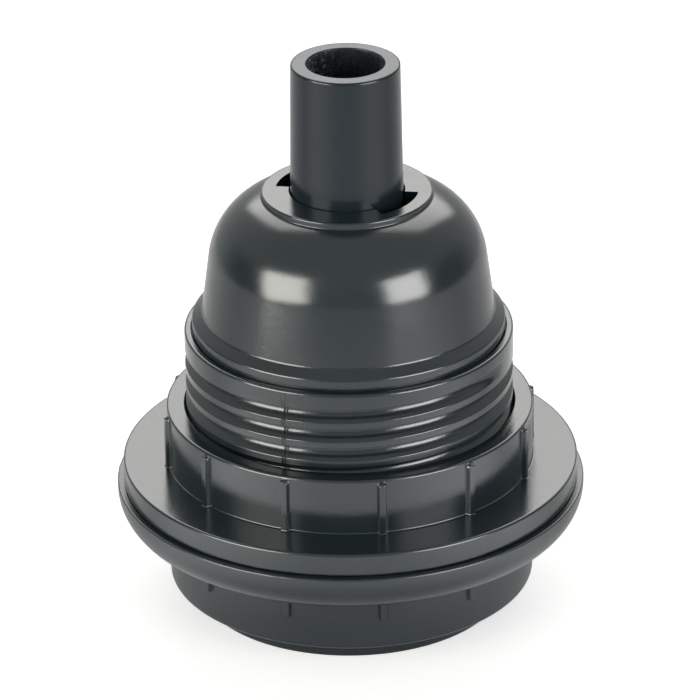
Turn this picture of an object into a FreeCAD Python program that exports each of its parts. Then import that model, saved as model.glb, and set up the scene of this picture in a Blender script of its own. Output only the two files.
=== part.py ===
import FreeCAD, Part
import math
import os
from FreeCAD import Vector

# E27 lamp holder: a threaded skirt under a bell-shaped cap, two shade rings on the skirt's
# thread, a bayonet cord grip in the cap and a contact block between the skirt and the cap.
# Millimetres, +Z up. The origin is the centre of the skirt's lamp-end rim, and +Z is the
# axis that every turned piece shares.

os.makedirs("parts", exist_ok=True)

# Skirt -------------------------------------------------------------------------------------
skirt_height = 35.3
shade_thread_r = 19.8
shade_thread_depth = 0.9
shade_thread_pitch = 2.5
thread_groove_floor = 0.7
thread_groove_mouth = 1.5
thread_top_land = 2.1
thread_end_angle = -45.0
pilot_height = 3.6
pilot_step = 0.05
lamp_end_wall = 1.95
cap_end_wall = 1.45
rim_wall = 0.65
recess_depth = 1.15
shoulder_z = 26.5
shoulder_height = 2.0
shoulder_width = 1.8

# Cap ---------------------------------------------------------------------------------------
cap_height = 17.7
cap_wall = 1.8
cap_foot_rise = 1.4
cap_ledge_rise = 0.9
cap_ledge_width = 1.2
bell_flare_rise = 2.6
bell_flare_width = 0.45
bell_lean = 1.45
bell_round = 9.0
collar_r = 10.2
collar_top_r = 9.95
collar_rise = 0.43
collar_sink = 1.2
collar_round = 0.3

# Cord grip ---------------------------------------------------------------------------------
tube_height = 16.2
tube_top_r = 6.5
tube_foot_r = 6.75
cord_r = 4.5
cord_lip = 0.3
jaw_length = 4.6
jaw_r = 6.2
jaw_slit = 1.4
lug_r = 8.35
lug_height = 2.0
lug_angle = 50.0
lug_start = 30.5
bayonet_turn = 90.0
bayonet_play = 2.0
channel_wall = 1.6

# Shade rings -------------------------------------------------------------------------------
ring_wall = 2.2
ring_mouth_chamfer = 0.4
upper_ring_z = 15.8
upper_ring_height = 9.5
upper_flange_r = 27.6
upper_flange_height = 2.5
lower_ring_height = 12.1
lower_flange_r = 28.4
lower_collar_height = 6.0
lower_bowl_round = 5.0
shade_gap = 0.4
rib_count = 12
rib_phase = 9.5
rib_width = 1.0
rib_proud = 0.5
rib_root = 1.1
rib_top_gap = 0.5
lower_rib_length = 2.2
edge_break = 0.35

# Contact block -----------------------------------------------------------------------------
block_flange_height = 2.2
block_side_gap = 0.7
block_rise = 4.8
block_boss_height = 2.5
barrier_width = 2.6
barrier_rise = 2.0
pocket_depth = 3.3
pocket_width = 8.0

# Lamp contacts -----------------------------------------------------------------------------
shell_side_gap = 3.6
shell_wall = 0.35
shell_height = 17.5
shell_lip = 0.75
shell_neck_step = 0.35
shell_neck_height = 3.6
shell_floor_web = 0.95
leaf_thickness = 0.5
leaf_width = 5.0
leaf_drop = 2.9
leaf_tip_drop = 1.7
leaf_crown = 2.0
leaf_margin = 0.3
leaf_reach = 5.2

# Terminals and fasteners -------------------------------------------------------------------
terminal_plate = 1.6
terminal_wall = 0.8
terminal_wall_rise = 1.5
terminal_end_gap = 0.6
terminal_rim_gap = 1.0
washer_side = 5.2
washer_thickness = 0.8
washer_end_gap = 0.7
terminal_screw_r = 1.45
terminal_screw_head_r = 2.4
terminal_screw_head = 2.0
terminal_screw_length = 5.2
shell_screw_r = 1.45
shell_screw_head_r = 2.0
shell_screw_head = 1.6
shell_screw_length = 9.2
shell_screw_gap = 0.15
nut_across_flats = 5.5
nut_height = 2.4
rivet_r = 1.0
rivet_head_r = 1.5
rivet_head = 0.8
rivet_end_gap = 0.1
driver_slot_width = 0.7
driver_slot_depth = 0.9

# Fits, and how far a cut runs past what it cuts ----------------------------------------------
thread_fit = 0.2
cap_thread_fit = 0.25
drop_in_fit = 0.3
turn_fit = 0.2
seat_fit = 0.05
hole_fit = 0.1
pocket_fit = 0.2
over = 1.0
groove_over = 0.3

# Radii that follow from the thread on the skirt ----------------------------------------------
thread_root_r = shade_thread_r - shade_thread_depth
pilot_r = thread_root_r - pilot_step
lamp_bore_r = pilot_r - lamp_end_wall
cap_bore_r = pilot_r - cap_end_wall
shoulder_r = cap_bore_r - shoulder_width
recess_r = shade_thread_r - rim_wall
ring_bore_r = shade_thread_r + thread_fit
ring_collar_r = ring_bore_r + ring_wall
cap_foot_r = recess_r - drop_in_fit
bell_foot_r = cap_foot_r - cap_ledge_width
bell_r = bell_foot_r - bell_flare_width
bell_inner_r = bell_r - cap_wall
block_r = bell_inner_r - block_side_gap

# Radii and places inside, which follow from the skirt's bore, the tube and the block ---------
shell_r = lamp_bore_r - shell_side_gap
shell_neck_r = shell_r - shell_neck_step
fixing_pitch_r = shell_neck_r - shell_screw_head_r - shell_screw_gap
shell_floor_hole_r = fixing_pitch_r - shell_screw_r - hole_fit - shell_floor_web
tube_hole_r = tube_foot_r + turn_fit
channel_r = lug_r + turn_fit
terminal_inner_x = barrier_width / 2 + terminal_end_gap
terminal_outer_x = block_r - terminal_rim_gap
live_screw_x = washer_end_gap + washer_side / 2 - terminal_outer_x
neutral_screw_x = terminal_inner_x + washer_side / 2
live_rivet_x = -terminal_inner_x - rivet_head_r - rivet_end_gap

# Levels that several pieces share ------------------------------------------------------------
recess_floor = skirt_height - recess_depth
cap_top = skirt_height + cap_height
tube_top = cap_top + tube_height
bell_top = cap_top - collar_rise
cap_ceiling = bell_top - cap_wall
lug_top = cap_ceiling - 2 * seat_fit
lug_bottom = lug_top - lug_height
guide_z = lug_bottom - seat_fit
block_seat = shoulder_z
block_flange_top = block_seat + block_flange_height
block_top = block_flange_top + block_rise
block_boss_z = block_seat - block_boss_height
pocket_floor = block_top - pocket_depth
plate_top = pocket_floor + terminal_plate
washer_top = plate_top + washer_thickness
terminal_screw_end = washer_top - terminal_screw_length
shell_floor_z = block_boss_z - shell_wall
leaf_z = block_boss_z - leaf_thickness
upper_collar_top = upper_ring_z + upper_ring_height
lower_ring_top = upper_ring_z - shade_gap
lower_ring_z = lower_ring_top - lower_ring_height


# Ways to build -----------------------------------------------------------------------------
def corner_arc(before, corner, after, radius):
    """The arc that rounds a corner: its two tangent points and the point midway."""
    to_before = (before - corner).normalize()
    to_after = (after - corner).normalize()
    half_angle = to_before.getAngle(to_after) / 2
    reach = radius / math.tan(half_angle)
    bisector = (to_before + to_after).normalize()
    centre = corner + bisector * (radius / math.sin(half_angle))
    start = corner + to_before * reach
    end = corner + to_after * reach
    return start, centre - bisector * radius, end


def outline(corners):
    """A closed face in the XZ plane from (x, z) or (x, z, rounding radius) corners."""
    points = [Vector(c[0], 0, c[1]) for c in corners]
    rounds = [c[2] if len(c) > 2 else 0 for c in corners]
    count = len(points)
    edges = []
    ends = []
    for i in range(count):
        if rounds[i] > 0:
            start, middle, end = corner_arc(points[i - 1], points[i], points[(i + 1) % count], rounds[i])
            edges.append(Part.Arc(start, middle, end).toShape())
            ends.append((start, end))
        else:
            ends.append((points[i], points[i]))
    for i in range(count):
        line_start = ends[i][1]
        line_end = ends[(i + 1) % count][0]
        if line_start.distanceToPoint(line_end) > 1e-6:
            edges.append(Part.makeLine(line_start, line_end))
    return Part.Face(Part.Wire(Part.__sortEdges__(edges)))


def turned(corners, x=0.0, y=0.0):
    """A solid of revolution about a vertical axis, from a half section in (radius, z)."""
    solid = outline(corners).revolve(Vector(0, 0, 0), Vector(0, 0, 1), 360)
    solid.translate(Vector(x, y, 0))
    return solid


def rod(radius, bottom, top, x=0.0, y=0.0):
    return Part.makeCylinder(radius, top - bottom, Vector(x, y, bottom))


def sector(radius, bottom, top, start, sweep):
    """A wedge of a disc about the main axis, from angle start, anticlockwise from above."""
    wedge = Part.makeCylinder(radius, top - bottom, Vector(0, 0, bottom), Vector(0, 0, 1), sweep)
    wedge.rotate(Vector(0, 0, 0), Vector(0, 0, 1), start)
    return wedge


def block_at(x_from, x_to, width, bottom, top):
    """A box across the XZ plane, centred on it."""
    return Part.makeBox(x_to - x_from, width, top - bottom, Vector(x_from, -width / 2, bottom))


def hexagon(across_flats, bottom, top, x, y):
    corner_r = across_flats / math.sqrt(3)
    points = []
    for i in range(7):
        angle = math.radians(60 * i)
        points.append(Vector(x + corner_r * math.cos(angle), y + corner_r * math.sin(angle), bottom))
    return Part.Face(Part.makePolygon(points)).extrude(Vector(0, 0, top - bottom))


def around(shape, count, phase):
    """Copies of a shape that lies on +X, spread evenly about the main axis."""
    copies = []
    for i in range(count):
        copy = shape.copy()
        copy.rotate(Vector(0, 0, 0), Vector(0, 0, 1), phase + i * 360 / count)
        copies.append(copy)
    return copies


def save(shape, name):
    solids = shape.Solids
    piece = solids[0] if len(solids) == 1 else Part.makeCompound(solids)
    piece.exportStep("parts/" + name + ".step")


# Skirt -------------------------------------------------------------------------------------
def thread_groove():
    """The groove of the right-hand shade thread, from below the pilot's end up to its run-out."""
    groove_top = skirt_height - thread_top_land - thread_groove_mouth / 2
    groove_start = pilot_height - over
    rise = groove_top - groove_start
    path = Part.makeHelix(shade_thread_pitch, rise, thread_root_r)
    path.translate(Vector(0, 0, groove_start))
    floor = thread_groove_floor / 2
    flank = (thread_groove_mouth - thread_groove_floor) / 2 / shade_thread_depth
    mouth = floor + flank * (shade_thread_depth + groove_over)
    mouth_r = shade_thread_r + groove_over
    section = Part.makePolygon([
        Vector(thread_root_r, 0, groove_start - floor),
        Vector(mouth_r, 0, groove_start - mouth),
        Vector(mouth_r, 0, groove_start + mouth),
        Vector(thread_root_r, 0, groove_start + floor),
        Vector(thread_root_r, 0, groove_start - floor),
    ])
    groove = path.makePipeShell([section], True, True)
    if groove.Volume < 0:
        groove.reverse()
    groove.rotate(Vector(0, 0, 0), Vector(0, 0, 1), thread_end_angle - 360 * rise / shade_thread_pitch)
    return groove


def skirt():
    shoulder_bottom = shoulder_z - shoulder_height
    body = turned([
        (lamp_bore_r + edge_break, 0),
        (pilot_r - edge_break, 0),
        (pilot_r, edge_break),
        (pilot_r, pilot_height),
        (shade_thread_r, pilot_height + shade_thread_r - pilot_r),
        (shade_thread_r, skirt_height - edge_break / 2),
        (shade_thread_r - edge_break / 2, skirt_height),
        (recess_r, skirt_height),
        (recess_r, recess_floor),
        (cap_bore_r, recess_floor),
        (cap_bore_r, shoulder_z),
        (shoulder_r, shoulder_z),
        (shoulder_r, shoulder_bottom),
        (lamp_bore_r, shoulder_bottom - (lamp_bore_r - shoulder_r)),
        (lamp_bore_r, edge_break),
    ])
    return body.cut(thread_groove())


# Cap ---------------------------------------------------------------------------------------
def bell():
    """The bell, its ledged foot and the spigot that screws into the skirt."""
    foot_z = recess_floor + seat_fit
    spigot_r = cap_bore_r - cap_thread_fit
    spigot_z = block_flange_top + seat_fit
    ledge_z = skirt_height + cap_foot_rise
    bell_foot_z = ledge_z + cap_ledge_rise
    return turned([
        (0, cap_ceiling),
        (bell_inner_r, cap_ceiling, bell_round - cap_wall),
        (bell_inner_r, spigot_z),
        (spigot_r - edge_break, spigot_z),
        (spigot_r, spigot_z + edge_break),
        (spigot_r, foot_z),
        (cap_foot_r, foot_z),
        (cap_foot_r, ledge_z),
        (bell_foot_r, bell_foot_z),
        (bell_r, bell_foot_z + bell_flare_rise),
        (bell_r - bell_lean, bell_top, bell_round),
        (0, bell_top),
    ])


def collar():
    """The low collar on the bell's top, sunk into the bell's round."""
    return turned([
        (0, bell_top - collar_sink),
        (collar_r, bell_top - collar_sink),
        (collar_r, bell_top),
        (collar_top_r, cap_top, collar_round),
        (0, cap_top),
    ])


def bayonet_wall():
    """The wall inside the cap that the lugs turn in, before its channel is cut."""
    return rod(channel_r + channel_wall, guide_z, cap_ceiling + cap_wall / 2)


def bayonet_cuts():
    """The tube's hole in the collar, the lugs' channel below it and their two entry slots."""
    hole = rod(tube_hole_r, cap_ceiling - over, cap_top + over)
    channel = rod(channel_r, guide_z - over, cap_ceiling)
    slot_start = lug_start + bayonet_turn - bayonet_play
    slot = sector(channel_r, cap_ceiling - over, cap_top + over, slot_start, lug_angle + 2 * bayonet_play)
    return [hole, channel] + around(slot, 2, 0)


def bayonet_stops():
    """The two stops in the channel that end the tube's turn at either side."""
    start = lug_start + lug_angle + bayonet_turn + bayonet_play
    sweep = 180 - lug_angle - bayonet_turn - 2 * bayonet_play
    stop = sector(channel_r + channel_wall / 2, guide_z, cap_ceiling + cap_wall / 2, start, sweep)
    return [s.cut(rod(tube_hole_r, guide_z - over, cap_top)) for s in around(stop, 2, 0)]


def cap():
    body = bell().fuse([collar(), bayonet_wall()]).cut(bayonet_cuts())
    return body.fuse(bayonet_stops()).removeSplitter()


# Cord grip ---------------------------------------------------------------------------------
def cord_grip_tube():
    jaw_end = lug_bottom - jaw_length
    tube = turned([
        (0, jaw_end),
        (jaw_r - edge_break, jaw_end),
        (jaw_r, jaw_end + edge_break),
        (jaw_r, lug_bottom),
        (tube_foot_r, lug_bottom),
        (tube_foot_r, cap_top),
        (tube_top_r, tube_top - edge_break / 2),
        (tube_top_r - edge_break / 2, tube_top),
        (0, tube_top),
    ])
    lugs = around(sector(lug_r, lug_bottom, lug_top, lug_start, lug_angle), 2, 0)
    bore = turned([
        (0, jaw_end - over),
        (cord_r + cord_lip + over, jaw_end - over),
        (cord_r, jaw_end + cord_lip),
        (cord_r, tube_top - cord_lip),
        (cord_r + cord_lip + over, tube_top + over),
        (0, tube_top + over),
    ])
    slit = block_at(-tube_foot_r, tube_foot_r, jaw_slit, jaw_end - over, lug_bottom - jaw_slit / 2)
    return tube.fuse(lugs).cut(bore.fuse(slit))


# Shade rings -------------------------------------------------------------------------------
def rib(square_end, round_end):
    """A rib on +X up a ring's collar: an upright bar, square at one end and round at the other."""
    half = rib_width / 2
    spring = round_end - math.copysign(half, round_end - square_end)
    x = ring_collar_r - rib_root
    corners = [
        Vector(x, -half, spring),
        Vector(x, -half, square_end),
        Vector(x, half, square_end),
        Vector(x, half, spring),
    ]
    edges = [Part.makeLine(corners[i], corners[i + 1]) for i in range(3)]
    edges.append(Part.Arc(corners[3], Vector(x, 0, round_end), corners[0]).toShape())
    return Part.Face(Part.Wire(edges)).extrude(Vector(rib_root + rib_proud, 0, 0))


def upper_shade_ring():
    flange_top = upper_ring_z + upper_flange_height
    body = turned([
        (ring_bore_r + ring_mouth_chamfer, upper_ring_z),
        (upper_flange_r - edge_break, upper_ring_z),
        (upper_flange_r, upper_ring_z + edge_break),
        (upper_flange_r, flange_top - edge_break),
        (upper_flange_r - edge_break, flange_top),
        (ring_collar_r, flange_top),
        (ring_collar_r, upper_collar_top - edge_break),
        (ring_collar_r - edge_break, upper_collar_top),
        (ring_bore_r + ring_mouth_chamfer, upper_collar_top),
        (ring_bore_r, upper_collar_top - ring_mouth_chamfer),
        (ring_bore_r, upper_ring_z + ring_mouth_chamfer),
    ])
    bar = rib(flange_top - upper_flange_height / 2, upper_collar_top - rib_top_gap)
    return body.fuse(around(bar, rib_count, rib_phase))


def lower_shade_ring():
    collar_top = lower_ring_z + lower_collar_height
    body = turned([
        (ring_bore_r + ring_mouth_chamfer, lower_ring_z),
        (ring_collar_r - edge_break, lower_ring_z),
        (ring_collar_r, lower_ring_z + edge_break),
        (ring_collar_r, collar_top),
        (lower_flange_r, collar_top, lower_bowl_round),
        (lower_flange_r, lower_ring_top - edge_break),
        (lower_flange_r - edge_break, lower_ring_top),
        (ring_bore_r + ring_mouth_chamfer, lower_ring_top),
        (ring_bore_r, lower_ring_top - ring_mouth_chamfer),
        (ring_bore_r, lower_ring_z + ring_mouth_chamfer),
    ])
    bar = rib(collar_top + rib_width, collar_top - lower_rib_length)
    return body.fuse(around(bar, rib_count, rib_phase))


# Contact block -----------------------------------------------------------------------------
def fixing_places():
    """The two screws that hold the lamp shell, one each side of the block along Y."""
    return [(0, fixing_pitch_r), (0, -fixing_pitch_r)]


def contact_block():
    flange_r = cap_bore_r - drop_in_fit
    boss_r = shoulder_r - drop_in_fit
    body = turned([
        (0, block_boss_z),
        (boss_r - edge_break, block_boss_z),
        (boss_r, block_boss_z + edge_break),
        (boss_r, block_seat),
        (flange_r, block_seat),
        (flange_r, block_flange_top),
        (block_r, block_flange_top),
        (block_r, block_top - edge_break),
        (block_r - edge_break, block_top),
        (0, block_top),
    ])
    half_barrier = barrier_width / 2
    barrier_top = block_top + barrier_rise
    body = body.fuse(block_at(-half_barrier, half_barrier, pocket_width, pocket_floor, barrier_top))
    cuts = [
        block_at(-block_r - over, -half_barrier, pocket_width, pocket_floor, block_top + over),
        block_at(half_barrier, block_r + over, pocket_width, pocket_floor, block_top + over),
    ]
    for x in (live_rivet_x, fixing_pitch_r):
        cuts.append(rod(rivet_r + hole_fit, block_boss_z - over, pocket_floor + over, x))
    well_floor = terminal_screw_end - pocket_fit
    for x in (live_screw_x, neutral_screw_x):
        cuts.append(rod(terminal_screw_r + pocket_fit, well_floor, pocket_floor + over, x))
    for x, y in fixing_places():
        cuts.append(rod(shell_screw_r + hole_fit, block_boss_z - over, pocket_floor + over, x, y))
        cuts.append(hexagon(nut_across_flats + pocket_fit, pocket_floor, block_top + over, x, y))
    return body.cut(cuts)


# Lamp contacts -----------------------------------------------------------------------------
def screw_shell():
    """The cup that takes the lamp cap: a drawn wall with a neck, a floor with a hole and a lip."""
    outer_r = shell_r + shell_wall
    lip_r = outer_r + shell_lip
    mouth_z = block_boss_z - shell_height
    neck_z = shell_floor_z - shell_neck_height
    shell = turned([
        (shell_floor_hole_r, shell_floor_z),
        (shell_neck_r, shell_floor_z),
        (shell_neck_r, neck_z),
        (shell_r, neck_z - shell_neck_step),
        (shell_r, mouth_z + shell_lip),
        (lip_r, mouth_z),
        (lip_r + shell_wall, mouth_z + shell_wall),
        (outer_r, mouth_z + shell_lip + shell_wall),
        (outer_r, neck_z - shell_neck_step),
        (shell_neck_r + shell_wall, neck_z),
        (shell_neck_r + shell_wall, block_boss_z),
        (shell_floor_hole_r, block_boss_z),
    ])
    holes = [rod(rivet_r + hole_fit, shell_floor_z - over, block_boss_z + over, fixing_pitch_r)]
    for x, y in fixing_places():
        holes.append(rod(shell_screw_r + hole_fit, shell_floor_z - over, block_boss_z + over, x, y))
    return shell.cut(holes)


def centre_contact():
    """A bronze strip riveted flat under the block, bowed down to meet the lamp's end contact."""
    flat_start = live_rivet_x - rivet_head_r - leaf_margin
    flat_end = live_rivet_x + rivet_head_r + leaf_margin
    tip_z = leaf_z - leaf_tip_drop
    low_z = leaf_z - leaf_drop
    crown_middle = (flat_end + leaf_reach) / 2
    crown_start = crown_middle - leaf_crown / 2
    crown_end = crown_middle + leaf_crown / 2
    strip = outline([
        (flat_start, block_boss_z),
        (flat_end, block_boss_z),
        (crown_start, low_z + leaf_thickness),
        (crown_end, low_z + leaf_thickness),
        (leaf_reach, tip_z + leaf_thickness),
        (leaf_reach + leaf_thickness / 2, tip_z),
        (crown_end, low_z),
        (crown_start, low_z),
        (flat_end - leaf_thickness / 2, leaf_z),
        (flat_start, leaf_z),
    ])
    strip.translate(Vector(0, -leaf_width / 2, 0))
    leaf = strip.extrude(Vector(0, leaf_width, 0))
    return leaf.cut(rod(rivet_r + hole_fit, leaf_z - over, block_boss_z + over, live_rivet_x))


def rivet(x, underside):
    """A rivet from under a contact, up through the block and its terminal, headed at both ends."""
    return turned([
        (0, underside - rivet_head),
        (rivet_head_r - rivet_head / 2, underside - rivet_head),
        (rivet_head_r, underside),
        (rivet_r, underside),
        (rivet_r, plate_top),
        (rivet_head_r, plate_top),
        (rivet_head_r - rivet_head / 2, plate_top + rivet_head),
        (0, plate_top + rivet_head),
    ], x)


# Terminals and fasteners -------------------------------------------------------------------
def terminal(x_from, x_to, rivet_x, screw_x):
    """A U-shaped brass plate: its side walls keep the clamp washer from turning."""
    width = pocket_width - 2 * pocket_fit
    body = block_at(x_from, x_to, width, pocket_floor, plate_top + terminal_wall_rise)
    wall_top = plate_top + terminal_wall_rise
    trough = block_at(x_from - over, x_to + over, width - 2 * terminal_wall, plate_top, wall_top + over)
    rivet_hole = rod(rivet_r + hole_fit, pocket_floor - over, plate_top + over, rivet_x)
    screw_hole = rod(terminal_screw_r + hole_fit, pocket_floor - over, plate_top + over, screw_x)
    return body.cut([trough, rivet_hole, screw_hole])


def clamp_washer(screw_x):
    half = washer_side / 2
    washer = block_at(screw_x - half, screw_x + half, washer_side, plate_top, washer_top)
    return washer.cut(rod(terminal_screw_r + hole_fit, plate_top - over, washer_top + over, screw_x))


def terminal_screw(screw_x):
    head_top = washer_top + terminal_screw_head
    screw = turned([
        (0, terminal_screw_end),
        (terminal_screw_r - edge_break, terminal_screw_end),
        (terminal_screw_r, terminal_screw_end + edge_break),
        (terminal_screw_r, washer_top),
        (terminal_screw_head_r, washer_top),
        (terminal_screw_head_r, head_top - edge_break),
        (terminal_screw_head_r - edge_break, head_top),
        (0, head_top),
    ], screw_x)
    reach = terminal_screw_head_r + over
    slot_floor = head_top - driver_slot_depth
    slot = block_at(screw_x - reach, screw_x + reach, driver_slot_width, slot_floor, head_top + over)
    return screw.cut(slot)


def shell_screw(x, y):
    """A cheese-head screw from inside the lamp shell up into its nut."""
    head_z = shell_floor_z - shell_screw_head
    end = shell_floor_z + shell_screw_length
    reach = shell_screw_head_r + over
    screw = turned([
        (0, head_z),
        (shell_screw_head_r - edge_break, head_z),
        (shell_screw_head_r, head_z + edge_break),
        (shell_screw_head_r, shell_floor_z),
        (shell_screw_r, shell_floor_z),
        (shell_screw_r, end - edge_break),
        (shell_screw_r - edge_break, end),
        (0, end),
    ], x, y)
    slot = block_at(x - reach, x + reach, driver_slot_width, head_z - over, head_z + driver_slot_depth)
    slot.translate(Vector(0, y, 0))
    return screw.cut(slot)


def shell_nut(x, y):
    nut_top = pocket_floor + nut_height
    nut = hexagon(nut_across_flats, pocket_floor, nut_top, x, y)
    return nut.cut(rod(shell_screw_r + seat_fit, pocket_floor - over, nut_top + over, x, y))


# Every piece -------------------------------------------------------------------------------
pieces = {
    "skirt": skirt(),
    "cap": cap(),
    "cord_grip_tube": cord_grip_tube(),
    "upper_shade_ring": upper_shade_ring(),
    "lower_shade_ring": lower_shade_ring(),
    "contact_block": contact_block(),
    "screw_shell": screw_shell(),
    "centre_contact": centre_contact(),
    "live_rivet": rivet(live_rivet_x, leaf_z),
    "neutral_rivet": rivet(fixing_pitch_r, shell_floor_z),
    "live_terminal": terminal(-terminal_outer_x, -terminal_inner_x, live_rivet_x, live_screw_x),
    "neutral_terminal": terminal(terminal_inner_x, terminal_outer_x, fixing_pitch_r, neutral_screw_x),
    "live_clamp_washer": clamp_washer(live_screw_x),
    "neutral_clamp_washer": clamp_washer(neutral_screw_x),
    "live_terminal_screw": terminal_screw(live_screw_x),
    "neutral_terminal_screw": terminal_screw(neutral_screw_x),
}
for side, place in zip(("rear", "front"), fixing_places()):
    pieces["shell_screw_" + side] = shell_screw(*place)
    pieces["shell_nut_" + side] = shell_nut(*place)
for name, shape in pieces.items():
    save(shape, name)
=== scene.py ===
import math

import bpy
import numpy as np
from mathutils import Matrix, Vector

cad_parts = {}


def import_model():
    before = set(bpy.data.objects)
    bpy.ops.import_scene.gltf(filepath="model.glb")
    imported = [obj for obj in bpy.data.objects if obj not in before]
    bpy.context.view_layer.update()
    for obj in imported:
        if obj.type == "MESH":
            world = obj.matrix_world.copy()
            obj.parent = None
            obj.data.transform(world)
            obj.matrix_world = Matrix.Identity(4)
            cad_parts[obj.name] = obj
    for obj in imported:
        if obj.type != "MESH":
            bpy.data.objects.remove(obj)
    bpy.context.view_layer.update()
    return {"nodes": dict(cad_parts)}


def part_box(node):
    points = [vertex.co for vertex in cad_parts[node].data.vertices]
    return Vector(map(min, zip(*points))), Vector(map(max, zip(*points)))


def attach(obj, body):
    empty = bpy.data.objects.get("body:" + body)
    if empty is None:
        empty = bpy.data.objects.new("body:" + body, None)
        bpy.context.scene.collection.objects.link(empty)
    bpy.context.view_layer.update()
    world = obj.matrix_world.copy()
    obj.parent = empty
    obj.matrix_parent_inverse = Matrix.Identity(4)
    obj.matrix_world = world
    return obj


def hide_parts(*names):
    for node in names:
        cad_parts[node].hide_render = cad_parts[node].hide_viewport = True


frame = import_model()

MM = 0.001
TAU = 2 * math.pi
SAME = 1e-6        # mm: two radii closer than this are one
LONG_RUN = 3       # mm: an upright run longer than this gets more points
CLOSE = 0.35       # degrees: columns nearer than this to another are dropped


# Surfaces of revolution whose section may change with the angle --------------------------------
def rounded(corners, segments=5):
    """A closed section from (r, z, rounding) corners, in mm, with a support point beside each arc."""
    points = []
    count = len(corners)
    for i in range(count):
        before = np.array(corners[i - 1][:2], float)
        corner = np.array(corners[i][:2], float)
        after = np.array(corners[(i + 1) % count][:2], float)
        radius = corners[i][2] if len(corners[i]) > 2 else 0.0
        if radius <= 0:
            points.append(corner)
            continue
        to_before = (before - corner) / np.linalg.norm(before - corner)
        to_after = (after - corner) / np.linalg.norm(after - corner)
        half = math.acos(max(-1.0, min(1.0, float(to_before @ to_after)))) / 2
        reach = radius / math.tan(half)
        bisector = (to_before + to_after) / np.linalg.norm(to_before + to_after)
        centre = corner + bisector * radius / math.sin(half)
        start, end = corner + to_before * reach, corner + to_after * reach
        a0 = math.atan2(*(start - centre)[::-1])
        a1 = math.atan2(*(end - centre)[::-1])
        sweep = (a1 - a0 + math.pi) % TAU - math.pi
        steps = max(segments, int(abs(sweep) * radius / 0.35))
        support = min(0.06, 0.25 * radius)
        points.append(start + to_before * support)
        for k in range(steps + 1):
            a = a0 + sweep * k / steps
            points.append(centre + radius * np.array([math.cos(a), math.sin(a)]))
        points.append(end + to_after * support)
    return np.array(points)


def subdivide(points, longest):
    """Points added along the straight runs, so that none is longer than this."""
    out = []
    for i in range(len(points)):
        a, b = points[i], points[(i + 1) % len(points)]
        n = max(1, int(math.ceil(np.linalg.norm(b - a) / longest)))
        for k in range(n):
            out.append(a + (b - a) * k / n)
    return np.array(out)


def refined(outline, fine_r, steps, levels=(), closed=True):
    """Points added on the long upright runs: even steps at one radius, the given levels at the others."""
    fine = []
    count = len(outline)
    for i in range(count if closed else count - 1):
        a, b = outline[i], outline[(i + 1) % count]
        upright = abs(a[0] - b[0]) < SAME and abs(a[1] - b[1]) > LONG_RUN
        if upright and abs(a[0] - fine_r) < SAME:
            fine += [a + (b - a) * k / steps for k in range(steps)]
            continue
        fine.append(a)
        if upright:
            between = [z for z in levels if min(a[1], b[1]) < z < max(a[1], b[1])]
            fine += [np.array([a[0], z]) for z in (between if b[1] > a[1] else between[::-1])]
    if not closed:
        fine.append(outline[-1])
    return fine


def columns(base, extras=()):
    """Angles in degrees: an even base count, with extra angles put in and near doubles dropped."""
    even = list(np.arange(base) * 360 / base)
    angles = sorted(set(round((a + 360) % 360, 5) for a in even + list(extras)))
    fixed = set(round((a + 360) % 360, 5) for a in extras)
    kept = []
    for a in angles:
        if kept and a - kept[-1] < CLOSE and a not in fixed:
            continue
        if kept and a in fixed and a - kept[-1] < CLOSE and kept[-1] not in fixed:
            kept.pop()
        kept.append(a)
    return np.array(kept)


def smooth(mesh, angle=38):
    mesh.shade_smooth()
    mesh.set_sharp_from_angle(angle=math.radians(angle))


def new_object(name, verts, faces, angle=38):
    mesh = bpy.data.meshes.new(name)
    mesh.from_pydata([tuple(float(c) * MM for c in v) for v in verts], [], faces)
    mesh.validate()
    mesh.update()
    smooth(mesh, angle)
    obj = bpy.data.objects.new(name, mesh)
    bpy.context.scene.collection.objects.link(obj)
    return obj


def grid(section, angles, closed=True):
    """Vertices and quads of a section(angle) swept once round; each section has the same length."""
    sections = [section(a) for a in angles]
    rows = len(sections[0])
    verts = []
    for a, s in zip(angles, sections):
        t = math.radians(a)
        c, n = math.cos(t), math.sin(t)
        verts.extend((p[0] * c, p[0] * n, p[1]) for p in s)
    faces = []
    total = len(angles)
    spans = rows if closed else rows - 1
    for i in range(total):
        j = (i + 1) % total
        for k in range(spans):
            m = (k + 1) % rows
            faces.append((i * rows + k, j * rows + k, j * rows + m, i * rows + m))
    return verts, faces


def turned(name, section, angles, angle=38):
    verts, faces = grid(section, angles)
    return new_object(name, verts, faces, angle)


def smoothstep(x):
    x = np.clip(x, 0.0, 1.0)
    return x * x * (3 - 2 * x)


def window(z, low, high, soft_low, soft_high):
    """1 between two levels, fading to 0 at each over the given heights."""
    return smoothstep((z - low) / soft_low) * smoothstep((high - z) / soft_high)


def within(angle, start, sweep):
    return (angle - start) % 360 <= sweep


# Procedural materials ---------------------------------------------------------------------------
def node(tree, kind, **settings):
    n = tree.nodes.new(kind)
    for key, value in settings.items():
        if key in n.inputs:
            n.inputs[key].default_value = value
        else:
            setattr(n, key, value)
    return n


def put(tree, value, socket):
    """A socket is linked, and a number or colour is set."""
    if isinstance(value, bpy.types.NodeSocket):
        tree.links.new(value, socket)
    else:
        socket.default_value = value


def maths(tree, operation, *values):
    n = node(tree, "ShaderNodeMath", operation=operation)
    for value, socket in zip(values, n.inputs):
        put(tree, value, socket)
    return n.outputs[0]


def length(tree, vector):
    n = node(tree, "ShaderNodeVectorMath", operation="LENGTH")
    put(tree, vector, n.inputs[0])
    return n.outputs["Value"]


def axes(tree, vector):
    n = tree.nodes.new("ShaderNodeSeparateXYZ")
    put(tree, vector, n.inputs[0])
    return n.outputs


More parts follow.
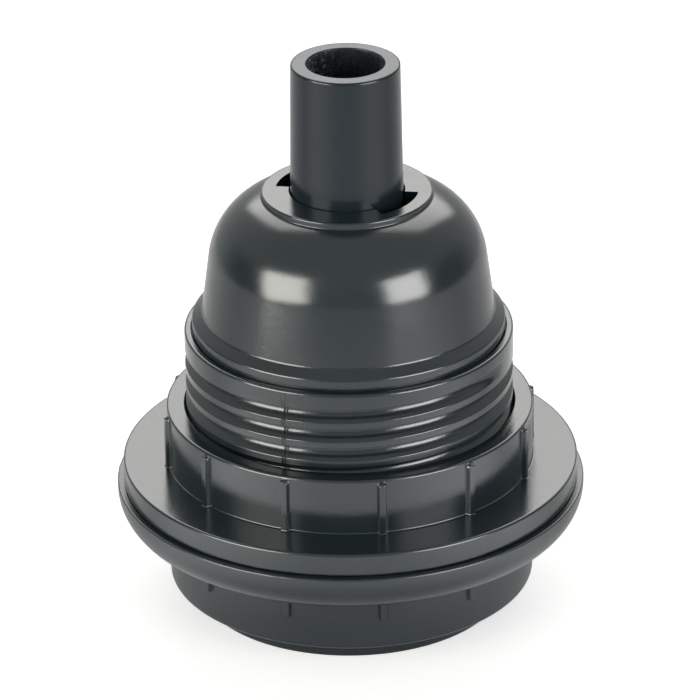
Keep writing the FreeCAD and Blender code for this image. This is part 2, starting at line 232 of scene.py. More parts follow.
def mixed(tree, factor, first, second):
    """One colour where the factor is 0, the other where it is 1."""
    n = tree.nodes.new("ShaderNodeMix")
    n.data_type = "RGBA"
    put(tree, factor, n.inputs[0])
    put(tree, first, n.inputs[6])
    put(tree, second, n.inputs[7])
    return n.outputs[2]


def mapped(tree, source, from_range, to_range, interpolation="LINEAR"):
    n = tree.nodes.new("ShaderNodeMapRange")
    n.interpolation_type = interpolation
    n.inputs["From Min"].default_value, n.inputs["From Max"].default_value = from_range
    n.inputs["To Min"].default_value, n.inputs["To Max"].default_value = to_range
    put(tree, source, n.inputs["Value"])
    return n.outputs[0]


def ramp(tree, source, low, high, low_at=0.0, high_at=1.0):
    r = tree.nodes.new("ShaderNodeValToRGB")
    r.color_ramp.elements[0].position = low_at
    r.color_ramp.elements[0].color = (*low, 1)
    r.color_ramp.elements[1].position = high_at
    r.color_ramp.elements[1].color = (*high, 1)
    tree.links.new(source, r.inputs[0])
    return r.outputs[0]


def spread(tree, source, low, high):
    return mapped(tree, source, (0, 1), (low, high))


def noise(tree, coords, scale, detail=3.0, roughness=0.55):
    n = tree.nodes.new("ShaderNodeTexNoise")
    n.inputs["Scale"].default_value = scale
    n.inputs["Detail"].default_value = detail
    n.inputs["Roughness"].default_value = roughness
    tree.links.new(coords, n.inputs["Vector"])
    return n.outputs[0]


def stretched(tree, coords, scale):
    m = tree.nodes.new("ShaderNodeMapping")
    m.inputs["Scale"].default_value = scale
    tree.links.new(coords, m.inputs["Vector"])
    return m.outputs[0]


def bumped(tree, shader, heights):
    """Chained bumps from (height, distance in metres, strength) triples."""
    last = None
    for height, distance, strength in heights:
        b = tree.nodes.new("ShaderNodeBump")
        b.inputs["Distance"].default_value = distance
        b.inputs["Strength"].default_value = strength
        tree.links.new(height, b.inputs["Height"])
        if last is not None:
            tree.links.new(last, b.inputs["Normal"])
        last = b.outputs[0]
    tree.links.new(last, shader.inputs["Normal"])


def material(name):
    mat = bpy.data.materials.new(name)
    mat.use_nodes = True
    tree = mat.node_tree
    tree.nodes.clear()
    out = tree.nodes.new("ShaderNodeOutputMaterial")
    shader = tree.nodes.new("ShaderNodeBsdfPrincipled")
    tree.links.new(shader.outputs[0], out.inputs[0])
    coords = tree.nodes.new("ShaderNodeTexCoord").outputs["Object"]
    return mat, tree, shader, coords


def moulded_plastic(name, dark, light, rough_low, rough_high, ripple=1.0):
    """Glossy moulded thermoplastic: faint flow clouds in the colour, uneven gloss and fine ripple."""
    mat, tree, shader, coords = material(name)
    cloud = noise(tree, coords, 90, 4)
    tree.links.new(ramp(tree, cloud, dark, light, 0.3, 0.7), shader.inputs["Base Color"])
    patches = noise(tree, coords, 260, 5, 0.6)
    tree.links.new(spread(tree, patches, rough_low, rough_high), shader.inputs["Roughness"])
    waves = noise(tree, coords, 380, 3, 0.6)
    grain = noise(tree, coords, 2300, 5, 0.75)
    bumped(tree, shader, [(waves, 0.00003 * ripple, 0.5), (grain, 0.000024 * ripple, 0.5)])
    shader.inputs["IOR"].default_value = 1.5
    return mat


def metal(name, low, high, rough_low, rough_high, brush=(1, 1, 14)):
    """Plated or drawn metal: brushed streaks, dull patches and small scratches."""
    mat, tree, shader, coords = material(name)
    cloud = noise(tree, coords, 160, 4)
    tree.links.new(ramp(tree, cloud, low, high, 0.3, 0.75), shader.inputs["Base Color"])
    shader.inputs["Metallic"].default_value = 1.0
    streaks = noise(tree, stretched(tree, coords, brush), 700, 4, 0.6)
    tree.links.new(spread(tree, streaks, rough_low, rough_high), shader.inputs["Roughness"])
    bumped(tree, shader, [(streaks, 0.00002, 0.5), (cloud, 0.00003, 0.3)])
    return mat


def thermoset(name, low, high):
    """Ivory urea moulding: a warm matt body with pale filler specks and a fine grain."""
    mat, tree, shader, coords = material(name)
    specks = noise(tree, coords, 1500, 5, 0.7)
    tree.links.new(ramp(tree, specks, low, high, 0.35, 0.65), shader.inputs["Base Color"])
    grain = noise(tree, coords, 3200, 4)
    tree.links.new(spread(tree, grain, 0.36, 0.55), shader.inputs["Roughness"])
    bumped(tree, shader, [(grain, 0.00002, 0.5), (noise(tree, coords, 300), 0.00004, 0.3)])
    return mat


gloss_black = moulded_plastic(
    "gloss_black", (0.0095, 0.0165, 0.0195), (0.0125, 0.0205, 0.0240), 0.14, 0.20)
soft_black = moulded_plastic(
    "soft_black", (0.0135, 0.0205, 0.0250), (0.0170, 0.0250, 0.0300), 0.20, 0.28, 1.3)
ivory = thermoset("ivory_thermoset", (0.62, 0.56, 0.44), (0.76, 0.71, 0.60))
nickel = metal("nickel_sheet", (0.56, 0.54, 0.50), (0.70, 0.68, 0.64), 0.16, 0.30, (1, 1, 20))
bronze = metal("spring_bronze", (0.62, 0.40, 0.22), (0.76, 0.53, 0.31), 0.20, 0.34, (14, 1, 1))
brass = metal("plain_brass", (0.66, 0.48, 0.20), (0.82, 0.64, 0.32), 0.20, 0.36, (10, 1, 1))
zinc = metal("zinc_steel", (0.48, 0.50, 0.52), (0.64, 0.65, 0.67), 0.26, 0.42, (4, 4, 4))


def finish_piece(obj, mat, body, replaced):
    """The piece gets its material, rides on its body and stands for its CAD node."""
    obj.data.materials.clear()
    obj.data.materials.append(mat)
    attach(obj, body)
    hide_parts(replaced)


# Skirt: millimetres and degrees from here on -------------------------------------------------------
PITCH = 2.5                              # of the shade-ring thread and of the cap's thread
DEPTH = 0.9                              # of the groove
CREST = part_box("skirt")[1][0] / MM
PILOT = CREST - 0.95                     # the plain wall under the thread
PILOT_TOP = 3.6
RIM_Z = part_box("skirt")[1][2] / MM
RUN_OUT = -22.0                          # where the groove ends, near the cap
FADE_OUT = 24.0                          # the turn over which it gets shallow there
GROOVE_TOP = RIM_Z - 2.40
SEAM = -113.3                            # the mould's parting line, and again half a turn on
SKIRT_COLUMNS = 150                      # keeps the piece under 200,000 triangles
SEAM_COLUMNS = (-0.9, -0.6, -0.4, -0.2, 0, 0.2, 0.4, 0.6, 0.9)


def groove_profile():
    """Across one pitch, from mid crest up to mid crest: offset from the groove's middle, and depth.

    The groove rises in a wide round to a gentle lower flank, under a steep upper one.
    """
    far = 9.0
    loop = rounded([
        (-far, 0.0), (-0.76, 0.0, 0.2), (-0.005, DEPTH, 0.85), (0.80, DEPTH, 0.05), (0.88, 0.0, 0.1),
        (far, 0.0), (far, -far), (-far, -far),
    ], 6)
    low, high = -1.25, 1.2
    inner = [(float(x), float(d)) for x, d in loop if -high < x < high and d > -0.001]
    return [(low, 0.0)] + inner + [(high, 0.0)]


def seam_step(angle):
    """The parting line: a low ridge beside a shallow nick."""
    off = (angle - SEAM + 90) % 180 - 90
    width, aside = 0.22, 0.3
    ridge = math.exp(-(((off - aside) / width) ** 2))
    nick = math.exp(-(((off + aside) / width) ** 2))
    return 0.10 * ridge - 0.12 * nick


def joining_thread(angle, z):
    """The wave of the thread that joins the cap and the skirt, with slightly flat crests."""
    phase = TAU * (z - angle / 360 * PITCH) / PITCH
    return math.cos(phase) + 0.15 * math.cos(3 * phase)


def skirt_outer():
    """The threaded wall as one strip wound up the helix, closed to flat rings at both ends."""
    profile = groove_profile()
    rows = len(profile)
    extra = [SEAM + half + d for half in (0, 180) for d in SEAM_COLUMNS]
    angles = columns(SKIRT_COLUMNS, extra + [RUN_OUT])
    order = [(a - RUN_OUT) % 360 for a in angles]
    angles = np.array([a for _, a in sorted(zip(order, angles))])
    frac = ((angles - RUN_OUT) % 360) / 360
    n = len(angles)
    turns = int((GROOVE_TOP - 1.6) / PITCH)
    verts, index = [], {}
    z_first = GROOVE_TOP - PITCH * turns

    def add(r, a, z):
        t = math.radians(a)
        verts.append((r * math.cos(t), r * math.sin(t), z))
        return len(verts) - 1

    for turn in range(turns):
        for i in range(n):
            left = (turns - turn - frac[i]) * 360
            depth = smoothstep(left / FADE_OUT)
            for k, (offset, d) in enumerate(profile):
                z = z_first + PITCH * (turn + frac[i]) + offset
                wall = min(CREST, max(PILOT, PILOT + (z - PILOT_TOP)))
                r = min(wall, CREST - d * depth) + seam_step(angles[i])
                index[turn * n + i, k] = add(r, angles[i], z)
    last = turns * n
    for k, (offset, d) in enumerate(profile):
        index[last, k] = add(CREST, angles[0], GROOVE_TOP + offset)
    faces = []
    for s in range(last):
        for k in range(rows - 1):
            faces.append((index[s, k], index[s + 1, k], index[s + 1, k + 1], index[s, k + 1]))
        above = s + n
        if above + 1 <= last:
            faces.append((index[s, rows - 1], index[s + 1, rows - 1], index[above + 1, 0], index[above, 0]))
    bottom_z = 1.2
    bottom = [add(PILOT, a, bottom_z) for a in angles]
    for i in range(n - 1):
        faces.append((bottom[i], bottom[i + 1], index[i + 1, 0], index[i, 0]))
    start = [index[0, k] for k in range(rows)]
    faces.append(tuple([bottom[n - 1], bottom[0]] + start + [index[n, 0], index[n - 1, 0]]))
    top_z = RIM_Z - 0.45
    top = [add(CREST, a, top_z) for a in angles]
    first = last - n
    end = [index[last, k] for k in range(rows - 1, -1, -1)]
    faces.append(tuple([index[first, rows - 1], index[first + 1, rows - 1], top[1], top[0]] + end))
    for i in range(1, n - 1):
        faces.append((index[first + i, rows - 1], index[first + i + 1, rows - 1], top[i + 1], top[i]))
    faces.append((index[last - 1, rows - 1], index[last, rows - 1], top[0], top[n - 1]))
    return verts, faces, angles, bottom, top, bottom_z, top_z


def skirt():
    """The threaded wall joined to its rims, its lamp bore, the block's shoulder and the cap's thread."""
    verts, faces, angles, bottom, top, bottom_z, top_z = skirt_outer()
    bore, cap_bore, shoulder, recess = 16.9, 17.4, 15.6, CREST - 0.83
    bore_top, under_shoulder, seat, recess_floor = 23.2, 24.5, 26.5, 34.15
    thread_low, thread_high = 28.6, 33.9
    loop = rounded([
        (PILOT, bottom_z, 0), (PILOT, 0.0, 0.3), (bore, 0.0, 0.3), (bore, bore_top, 0.2),
        (shoulder, under_shoulder, 0.2), (shoulder, seat, 0.25), (cap_bore, seat, 0),
        (cap_bore, recess_floor, 0.2), (recess, recess_floor, 0),
        (recess, RIM_Z, 0.1), (CREST, RIM_Z, 0.28), (CREST, top_z, 0),
    ], 3)
    fine = refined(loop, cap_bore, 46, closed=False)
    rows = len(fine)
    index = {}
    for i, a in enumerate(angles):
        t = math.radians(a)
        index[i, 0], index[i, rows - 1] = bottom[i], top[i]
        for k in range(1, rows - 1):
            r, z = fine[k]
            if abs(r - cap_bore) < SAME and thread_low < z < thread_high:
                fade = window(z, thread_low, thread_high, 0.5, 0.5)
                r += 0.16 * fade * joining_thread(a, z) + 0.12 * fade
            verts.append((r * math.cos(t), r * math.sin(t), z))
            index[i, k] = len(verts) - 1
    n = len(angles)
    for i in range(n):
        j = (i + 1) % n
        for k in range(rows - 1):
            faces.append((index[i, k + 1], index[j, k + 1], index[j, k], index[i, k]))
    return new_object("skirt_moulding", verts, faces, 50)


finish_piece(skirt(), gloss_black, "holder", "skirt")


# Cap ----------------------------------------------------------------------------------------------
CAP_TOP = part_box("cap")[1][2] / MM
SLOTS = (118.5, 298.5)                   # where the lugs drop in
SLOT_SWEEP = 54.0
STOPS = (172.5, 352.5)                   # what the lugs turn against
STOP_SWEEP = 36.0
IN_HOLE, IN_GUIDE = -1.0, -2.0           # radii that section() works out from the angle


def cap():
    """The bell: a threaded spigot, a foot with a ledge, a straight wall and a domed top with a collar."""
    hole, channel = 6.95, 8.55
    inner, spigot, foot_r, ledge_r = 15.4, 17.15, 18.85, 17.62
    spigot_end, foot_z = 28.75, 34.2
    foot_top, ledge = RIM_Z + 1.4, RIM_Z + 2.3
    bell_top, ceiling, guide, guide_r = CAP_TOP - 0.43, CAP_TOP - 2.23, 48.62, 10.15
    collar_foot, collar_top = 10.24, 10.2
    thread_low, thread_high = 29.1, 34.1
    dome = 9.0
    centre = np.array([7.74, bell_top - dome])
    foot = np.array([ledge_r, ledge]) - centre
    first = math.atan2(foot[1], foot[0]) + math.acos(dome / np.linalg.norm(foot))
    last = math.acos((collar_foot - centre[0]) / dome)
    turns = np.linspace(first, last, 30)
    arc = [tuple(centre + dome * np.array([math.cos(t), math.sin(t)])) + (0,) for t in turns]
    outline = rounded([
        (inner, spigot_end, 0.15), (spigot, spigot_end, 0.35), (spigot, foot_z, 0), (foot_r, foot_z, 0.1),
        (foot_r, foot_top, 0.35), (ledge_r, ledge, 0.4), *arc[:-1], arc[-1][:2] + (0.14,),
        (collar_top, CAP_TOP, 0.2), (IN_HOLE, CAP_TOP, 0), (IN_HOLE, ceiling, 0),
        (IN_GUIDE, ceiling, 0), (IN_GUIDE, guide, 0), (guide_r, guide, 0.15), (guide_r, ceiling - 0.25, 0),
        (inner, ceiling, 7.2),
    ], 5)
    fine = refined(outline, spigot, 46)

    def section(a):
        in_slot = any(within(a, s, SLOT_SWEEP) for s in SLOTS)
        in_stop = any(within(a, s, STOP_SWEEP) for s in STOPS)
        out = []
        for r, z in fine:
            if r == IN_HOLE:
                r = channel if in_slot else hole
            elif r == IN_GUIDE:
                r = hole + 0.02 if in_stop else channel + 0.01
            elif abs(r - spigot) < SAME and thread_low < z < thread_high:
                fade = window(z, thread_low, thread_high, 0.6, 0.5)
                r += 0.14 * fade * joining_thread(a, z) - 0.06 * fade
            out.append((r, z))
        return out

    edges = []
    for start, sweep in [(s, SLOT_SWEEP) for s in SLOTS] + [(s, STOP_SWEEP) for s in STOPS]:
        edges += [edge + d for edge in (start, start + sweep) for d in (-0.01, 0.01)]
    return turned("bell_cap", section, columns(288, edges), 42)


finish_piece(cap(), gloss_black, "cap", "cap")


# Cord grip tube -------------------------------------------------------------------------------------
TUBE_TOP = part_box("cord_grip_tube")[1][2] / MM
TUBE_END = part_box("cord_grip_tube")[0][2] / MM
CORD_R = 4.5
LUGS = (30.5, 210.5)
LUG_SWEEP = 50.0
ON_LUG = -1.0                            # a radius that section() works out from the angle


def tube():
    """A tapered tube with two bayonet lugs, and two slits between the cord jaws under them."""
    lug_top, lug_bottom, taper_foot, slit_top = 50.67, 48.67, 53.0, 47.97
    jaw, foot, head, lug_r = 6.2, 6.75, 6.5, 8.35
    slit_half = 6.4
    outline = rounded([
        (CORD_R + 0.3, TUBE_END, 0.1), (jaw, TUBE_END, 0.3), (jaw, lug_bottom, 0), (ON_LUG, lug_bottom, 0),
        (ON_LUG, lug_top, 0), (foot, lug_top, 0), (foot, taper_foot, 0), (head, TUBE_TOP, 0.28),
        (CORD_R + 0.22, TUBE_TOP, 0.12), (CORD_R, TUBE_TOP - 0.4, 0.2), (CORD_R, TUBE_END + 0.3, 0.1),
    ], 5)
    outline = subdivide(outline, 2.5)

    def section(a):
        lug = any(within(a, start, LUG_SWEEP) for start in LUGS)
        slit = abs((a + 90) % 180 - 90) < slit_half
        out = []
        for r, z in outline:
            if r == ON_LUG:
                r = lug_r if lug else foot + 0.01
            if slit and z < slit_top:
                z = slit_top + (z - TUBE_END) * 0.001
            out.append((r, z))
        return out

    corners = [start + d for start in LUGS for d in (0, LUG_SWEEP)]
    corners += [middle + d for middle in (0, 180) for d in (-slit_half, slit_half)]
    edges = [corner + d for corner in corners for d in (-0.02, 0.02)]
    return turned("cord_tube", section, columns(128, edges), 42)


def tube_plastic():
    """The tube's own finish: a duller black outside, and a bore coloured a little darker as painted shade,
    with gate-scar bumps and pale specks painted as highlights on its left side.
    """
    mat, tree, shader, coords = material("tube_satin_black")
    shader.inputs["IOR"].default_value = 1.36
    x, y, _ = axes(tree, coords)
    flat = tree.nodes.new("ShaderNodeCombineXYZ")
    put(tree, x, flat.inputs[0])
    put(tree, y, flat.inputs[1])
    inside = maths(tree, "LESS_THAN", length(tree, flat.outputs[0]), (CORD_R + 0.12) * MM)
    cloud = noise(tree, coords, 120, 4)
    skin = ramp(tree, cloud, (0.0085, 0.0150, 0.0205), (0.0115, 0.0190, 0.0250), 0.3, 0.7)
    # Pale specks painted in the colour as highlights, only on the bore's left side (negative x): painted
    # glints
    glint_specks = ramp(tree, noise(tree, coords, 2300, 3, 0.7), (0, 0, 0), (1, 1, 1), 0.55, 0.65)
    left = mapped(tree, x, (-0.0042, -0.0010), (1.0, 0.05))
    painted_glints = maths(tree, "MULTIPLY", glint_specks, left)
    # The bore's colour: a little darker than the outside as painted shade, rising to pale where the painted
    # highlights fall
    bore = ramp(tree, painted_glints, (0.007, 0.012, 0.019), (0.34, 0.40, 0.42))
    put(tree, mixed(tree, inside, skin, bore), shader.inputs["Base Color"])
    put(tree, spread(tree, noise(tree, coords, 300, 4), 0.19, 0.25), shader.inputs["Roughness"])
    scars = noise(tree, stretched(tree, coords, (1, 1, 0.6)), 1100, 5, 0.8)
    rough = maths(tree, "MULTIPLY", inside, scars)
    bumped(tree, shader, [(noise(tree, coords, 380, 2), 0.00005, 0.5), (rough, 0.0012, 1.0)])
    return mat


finish_piece(tube(), tube_plastic(), "cord_grip", "cord_grip_tube")


# Shade rings ----------------------------------------------------------------------------------------
RIBS = [9.5 + 30 * k for k in range(12)]
RIB_OFFSETS = [0.0, 0.2, 0.32, 0.38, 0.43, 0.48, 0.53, 0.58, 0.64, 0.8]
RIB_HALF = 0.48
RIB_PROUD = 0.5
RING_BORE, RING_COLLAR = 20.0, 22.2
BORE_INSET = 0.3                         # the ring thread fades out this far inside each end


def turn_between(a, b):
    """From one angle to another the short way, in degrees."""
    return (a - b + 180) % 360 - 180


def rib_columns(radius, base):
    """Angles in degrees: close together across each rib, and an even base count elsewhere."""
    kept = set()
    for middle in RIBS:
        for t in RIB_OFFSETS:
            d = math.degrees(t / radius)
            kept |= {round((middle - d) % 360, 5), round((middle + d) % 360, 5)}
    for a in np.arange(base) * 360 / base:
        if min(abs(turn_between(a, m)) for m in RIBS) > math.degrees(0.9 / radius):
            kept.add(round(float(a), 5))
    return np.array(sorted(kept))


def rib_height(radius, a, z, low, high, low_round, high_round):
    """How far the ribs stand proud at an angle and a level: a bar with soft sides and round ends."""
    middle = min(RIBS, key=lambda m: abs(turn_between(a, m)))
    t = math.radians(turn_between(a, middle)) * radius
    top = high - RIB_HALF if high_round else math.inf
    bottom = low + RIB_HALF if low_round else -math.inf
    dz = max(z - top, bottom - z, 0.0)
    gap = math.hypot(t, dz) - RIB_HALF
    return RIB_PROUD * float(smoothstep(0.5 - gap / 0.24))


def ring_thread(a, z, low, high):
    """The ring's own thread stands into the bore, in the skirt's groove at rest."""
    fade = window(z, low + BORE_INSET, high - BORE_INSET, 0.8, 0.8)
    x = ((z - GROOVE_TOP - (a - RUN_OUT) / 360 * PITCH) / PITCH + 0.5) % 1.0 - 0.5
    ridge = smoothstep((0.62 - abs(x * PITCH)) / 0.42)
    return -0.72 * float(fade) * float(ridge)


def flash(a):
    """An uneven moulded edge: -1 to 1 round the ring, rough at the back left and calm at the front right."""
    t = math.radians(a)
    rough = 0.45 + 0.55 * math.cos(t - math.radians(205))
    wave = math.sin(17 * t) * math.sin(41 * t + 1.1) + 0.6 * math.sin(67 * t + 0.4) * math.sin(9 * t)
    return rough * wave / 1.6


def upper_ring():
    """A flange under a ribbed collar, with a wavy moulded edge round the flange's underside."""
    bottom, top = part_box("upper_shade_ring")
    low, high, flange = bottom[2] / MM - 0.26, top[2] / MM, top[0] / MM
    bore, collar, face, rib_top = RING_BORE, RING_COLLAR, low + 2.76, high - 0.4
    outline = rounded([
        (bore + 0.4, low, 0), (flange, low, 0.12), (flange, face, 0.3), (collar, face, 0.16),
        (collar, high, 0.3), (bore + 0.1, high, 0), (bore, high - 0.1, 0), (bore, low + 0.4, 0),
    ], 5)
    below_top = (1.6, 1.3, 1.15, 1.05, 0.95, 0.85, 0.78, 0.7, 0.62, 0.55, 0.48, 0.42)
    fine = refined(outline, bore, 60, [face + 1, face + 3] + [high - d for d in below_top])

    def section(a):
        out = []
        for r, z in fine:
            if abs(r - collar) < 0.4 and z > face - 0.01:
                r += rib_height(collar, a, z, face, rib_top, False, True) * smoothstep((high - 0.3 - z) / 0.1)
            elif abs(r - bore) < SAME:
                r += ring_thread(a, z, low, high)
            if r > flange - 0.2 and z < low + 0.2:
                z += 0.07 * flash(a)
            out.append((r, z))
        return out

    return turned("upper_ring_nut", section, rib_columns(collar, 288), 42)


def lower_ring():
    """A bowl-shaped flange over a short-ribbed collar, with flash round its top edge."""
    bottom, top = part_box("lower_shade_ring")
    low, high, flange = bottom[2] / MM - 0.5, top[2] / MM, top[0] / MM
    bore, collar, shelf, rib_length = RING_BORE, RING_COLLAR, low + 7.35, 3.5
    outline = rounded([
        (bore + 0.4, low, 0.1), (collar, low, 0.45), (collar, shelf, 0.2), (flange, shelf, 4.5),
        (flange, high, 0.22), (bore + 0.4, high, 0), (bore, high - 0.4, 0), (bore, low + 0.4, 0),
    ], 5)
    rib_foot = [shelf - 3.75 + 0.09 * k for k in range(9)]
    fine = refined(outline, bore, 76, [shelf - 4.3] + rib_foot + [shelf - 2.6, shelf - 1.2])

    def section(a):
        out = []
        for r, z in fine:
            if collar - 0.5 < r <= collar + 0.5 and z < shelf + 0.5:
                lift = rib_height(collar, a, z, shelf - rib_length, shelf, True, False)
                r = max(r, min(r, collar) + lift)
            elif abs(r - bore) < SAME:
                r += ring_thread(a, z, low, high)
            elif r > flange - 0.4 and z > high - 0.3:
                r += 0.05 * flash(a + 31)
                z -= 0.08 * abs(flash(1.3 * a + 7))
            out.append((r, z))
        return out

    return turned("lower_ring_nut", section, rib_columns(collar, 288), 42)


finish_piece(upper_ring(), gloss_black, "upper_ring", "upper_shade_ring")
finish_piece(lower_ring(), soft_black, "lower_ring", "lower_shade_ring")


# Lamp shell: rolled sheet with the lamp's round thread -----------------------------------------------
def lamp_shell():
    """One sheet of even thickness: a floor with a hole, a neck, the rolled thread and a flared mouth."""
    mouth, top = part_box("screw_shell")[0][2] / MM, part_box("screw_shell")[1][2] / MM
    sheet = 0.35
    inner_floor = top - sheet
    lamp_pitch = 3.629
    inner = [
        (8.3, inner_floor), (9.5, inner_floor), (12.2, inner_floor), (12.75, inner_floor - 0.06),
        (12.95, inner_floor - 0.3),
    ]
    levels = list(np.arange(inner_floor - 0.8, mouth + 1.4, -0.24))
    inner += [(13.0, z) for z in levels]
    inner += [(13.35, mouth + 0.8), (13.6, mouth + 0.35), (14.2, mouth + 0.05), (14.6, mouth + 0.1)]
    count = len(inner)

    def wave(a, z):
        fade = window(z, mouth + 1.2, inner_floor - 2.6, 1.2, 1.2)
        phase = TAU * (z - a / 360 * lamp_pitch) / lamp_pitch
        return float(fade) * (0.42 * math.cos(phase) - 0.15)

    def section(a):
        line = []
        for r, z in inner:
            extra = wave(a, z) if 12.9 < r < 13.3 else 0.0
            line.append((r + extra, z))
        back = []
        for k in range(count - 1, -1, -1):
            p = np.array(line[max(0, k - 1)])
            q = np.array(line[min(count - 1, k + 1)])
            d = (q - p) / np.linalg.norm(q - p)
            out = np.array([-d[1], d[0]]) * sheet
            back.append((line[k][0] + out[0], min(line[k][1] + out[1], top)))
        return line + back

    return turned("lamp_thread_shell", section, columns(144), 40)


finish_piece(lamp_shell(), nickel, "holder", "screw_shell")


# The CAD solids that stay get their finishes ----------------------------------------------------------
KEPT = {
    "contact_block": ivory, "centre_contact": bronze, "live_rivet": brass, "neutral_rivet": brass,
    "live_terminal": brass, "neutral_terminal": brass, "live_clamp_washer": zinc,
    "neutral_clamp_washer": zinc, "live_terminal_screw": zinc, "neutral_terminal_screw": zinc,
    "shell_screw_rear": zinc, "shell_screw_front": zinc, "shell_nut_rear": zinc, "shell_nut_front": zinc,
}
for name, mat in KEPT.items():
    for material_slot in frame["nodes"][name].material_slots:
        material_slot.material = mat


# Floor, light and camera --------------------------------------------------------------------------------
def floor():
    """A pale round table, white to the camera under a soft shadow, and to gloss brighter further out.

    The gloss also sees it brighter at the sides than in the middle, and in front than behind.
    """
    mesh = bpy.data.meshes.new("studio_floor")
    verts, faces = [(0, 0, 0)], []
    count, rings = 96, (0.05, 0.10, 0.28)
    for r in rings:
        verts += [(r * math.cos(TAU * i / count), r * math.sin(TAU * i / count), 0) for i in range(count)]
    for i in range(count):
        j = (i + 1) % count
        faces.append((0, 1 + i, 1 + j))
        for k in range(len(rings) - 1):
            near, far = 1 + k * count, 1 + (k + 1) * count
            faces.append((near + i, far + i, far + j, near + j))
    mesh.from_pydata(verts, [], faces)
    obj = bpy.data.objects.new("studio_floor", mesh)
    bpy.context.scene.collection.objects.link(obj)
    mat = bpy.data.materials.new("pale_floor")
    mat.use_nodes = True
    tree = mat.node_tree
    tree.nodes.clear()
    out = tree.nodes.new("ShaderNodeOutputMaterial")
    base = tree.nodes.new("ShaderNodeBsdfDiffuse")
    coords = tree.nodes.new("ShaderNodeTexCoord").outputs["Object"]
    mottle = ramp(tree, noise(tree, coords, 4, 2), (0.80, 0.80, 0.80), (0.84, 0.84, 0.835))
    put(tree, mottle, base.inputs["Color"])
    away = length(tree, coords)
    sheen = tree.nodes.new("ShaderNodeValToRGB")
    sheen.color_ramp.interpolation = "EASE"
    sheen_reach = 0.14
    stops = [(0.21, 0.14), (0.36, 0.42), (0.47, 0.80), (0.66, 0.50), (0.85, 0.36)]
    for k, (at, level) in enumerate(stops):
        stop = sheen.color_ramp.elements[k] if k < 2 else sheen.color_ramp.elements.new(at)
        stop.position = at
        stop.color = (level, level, level, 1)
    put(tree, maths(tree, "DIVIDE", away, sheen_reach), sheen.inputs[0])
    x, y, _ = axes(tree, coords)
    aside = maths(tree, "DIVIDE", maths(tree, "ABSOLUTE", x), away)
    behind = maths(tree, "DIVIDE", y, away)
    sides = mapped(tree, aside, (0.2, 0.8), (1.7, 2.9), "SMOOTHSTEP")
    front = mapped(tree, behind, (-0.45, 0.15), (1.0, 0.2), "SMOOTHSTEP")
    lit = maths(tree, "MULTIPLY", sheen.outputs[0], maths(tree, "MULTIPLY", sides, front))
    path = tree.nodes.new("ShaderNodeLightPath").outputs
    gloss = maths(tree, "MULTIPLY", path["Is Glossy Ray"], lit)
    camera_glow = 0.6
    glow = tree.nodes.new("ShaderNodeEmission")
    put(tree, maths(tree, "MULTIPLY_ADD", path["Is Camera Ray"], camera_glow, gloss), glow.inputs["Strength"])
    both = tree.nodes.new("ShaderNodeAddShader")
    put(tree, base.outputs[0], both.inputs[0])
    put(tree, glow.outputs[0], both.inputs[1])
    put(tree, both.outputs[0], out.inputs[0])
    obj.data.materials.append(mat)


def background(tree, colour, strength=1.0):
    n = tree.nodes.new("ShaderNodeBackground")
    put(tree, colour, n.inputs[0])
    n.inputs[1].default_value = strength
    return n.outputs[0]


def chosen(tree, factor, otherwise, shader):
    """One shader for the rays that the factor picks, the other for the rest."""
    n = tree.nodes.new("ShaderNodeMixShader")
    for value, socket in zip((factor, otherwise, shader), n.inputs):
        put(tree, value, socket)
    return n.outputs[0]


def world():
    """A pale room: white to the camera, dimmer to matt surfaces, with two darker walls for gloss."""
    w = bpy.data.worlds.new("studio")
    bpy.context.scene.world = w
    w.use_nodes = True
    tree = w.node_tree
    tree.nodes.clear()
    out = tree.nodes.new("ShaderNodeOutputWorld")
    x, _, z = axes(tree, tree.nodes.new("ShaderNodeTexCoord").outputs["Generated"])
    walls = ramp(tree, maths(tree, "ABSOLUTE", x), (0.62, 0.62, 0.61), (0.24, 0.24, 0.24), 0.80, 0.97)
    up = ramp(tree, z, (0, 0, 0), (1, 1, 1), 0.25, 0.55)
    room = background(tree, mixed(tree, up, walls, (0.72, 0.72, 0.71, 1)))
    dim = background(tree, (1.0, 0.99, 0.98, 1), 0.30)
    white = background(tree, (1, 1, 1, 1))
    path = tree.nodes.new("ShaderNodeLightPath").outputs
    unseen = chosen(tree, path["Is Diffuse Ray"], room, dim)
    put(tree, chosen(tree, path["Is Camera Ray"], unseen, white), out.inputs[0])


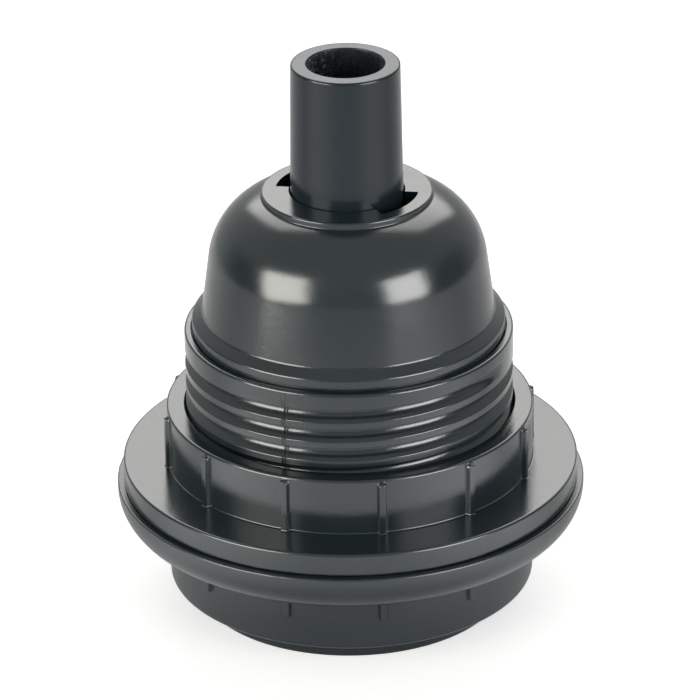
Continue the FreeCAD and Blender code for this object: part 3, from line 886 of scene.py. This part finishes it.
def panel(name, azimuth, elevation, distance, width, height, radiance, gloss, tint, roll=0.0):
    """A soft rectangular light that faces the object, as two lamps.

    The first is as bright as its face. The second adds what only gloss sees, and stands just behind,
    because two lamps in one plane lose most of their reflection.
    """
    behind = 0.03
    for label, level in ((name, radiance), (name + "_sheen", gloss)):
        light = bpy.data.lights.new(label, "AREA")
        light.shape = "RECTANGLE"
        light.size, light.size_y = width, height
        light.energy = level * math.pi * width * height
        light.color = tint
        obj = bpy.data.objects.new(label, light)
        a, e = math.radians(azimuth), math.radians(elevation)
        aim = Vector((0, 0, 0.035))
        reach = distance if label == name else distance + behind
        place = Vector((math.cos(a) * math.cos(e), math.sin(a) * math.cos(e), math.sin(e))) * reach + aim
        obj.location = place
        facing = (aim - place).to_track_quat("-Z", "Y").to_matrix().to_4x4()
        obj.rotation_euler = (facing @ Matrix.Rotation(math.radians(roll), 4, "Z")).to_euler()
        obj.visible_diffuse = label == name
        bpy.context.scene.collection.objects.link(obj)


def camera():
    """The photograph's view: the fitted focal length and shift are in pixels of a 700-pixel frame."""
    pixels, focal, shift = 700, 5200.2, 1.0
    cam = bpy.data.cameras.new("camera")
    cam.sensor_width = 36.0
    cam.lens = focal / pixels * cam.sensor_width
    cam.clip_start = 0.01
    obj = bpy.data.objects.new("camera", cam)
    elevation, distance = math.radians(25.46), 0.6275
    aim = Vector((0, 0, 0.031796))
    place = aim + Vector((0, -math.cos(elevation), math.sin(elevation))) * distance
    look = (aim - place).to_track_quat("-Z", "Y").to_matrix().to_4x4()
    roll = Matrix.Rotation(math.radians(-0.75), 4, "Z")
    obj.matrix_world = Matrix.Translation(place) @ look @ roll
    cam.shift_x = shift / pixels
    bpy.context.scene.collection.objects.link(obj)
    bpy.context.scene.camera = obj


floor()
world()
panel("left_softbox", -144, 12.3, 1.0, 0.72, 0.66, 4.3, 8.6, (1.0, 0.975, 0.90), 12)
panel("right_softbox", -41.5, 12.6, 1.0, 0.62, 0.64, 4.3, 8.2, (1.0, 0.99, 0.98))
panel("back_panel", 86, 41, 1.2, 1.35, 0.90, 1.8, 1.8, (1.0, 0.995, 0.97))
camera()
bpy.context.scene.view_settings.view_transform = "Standard"
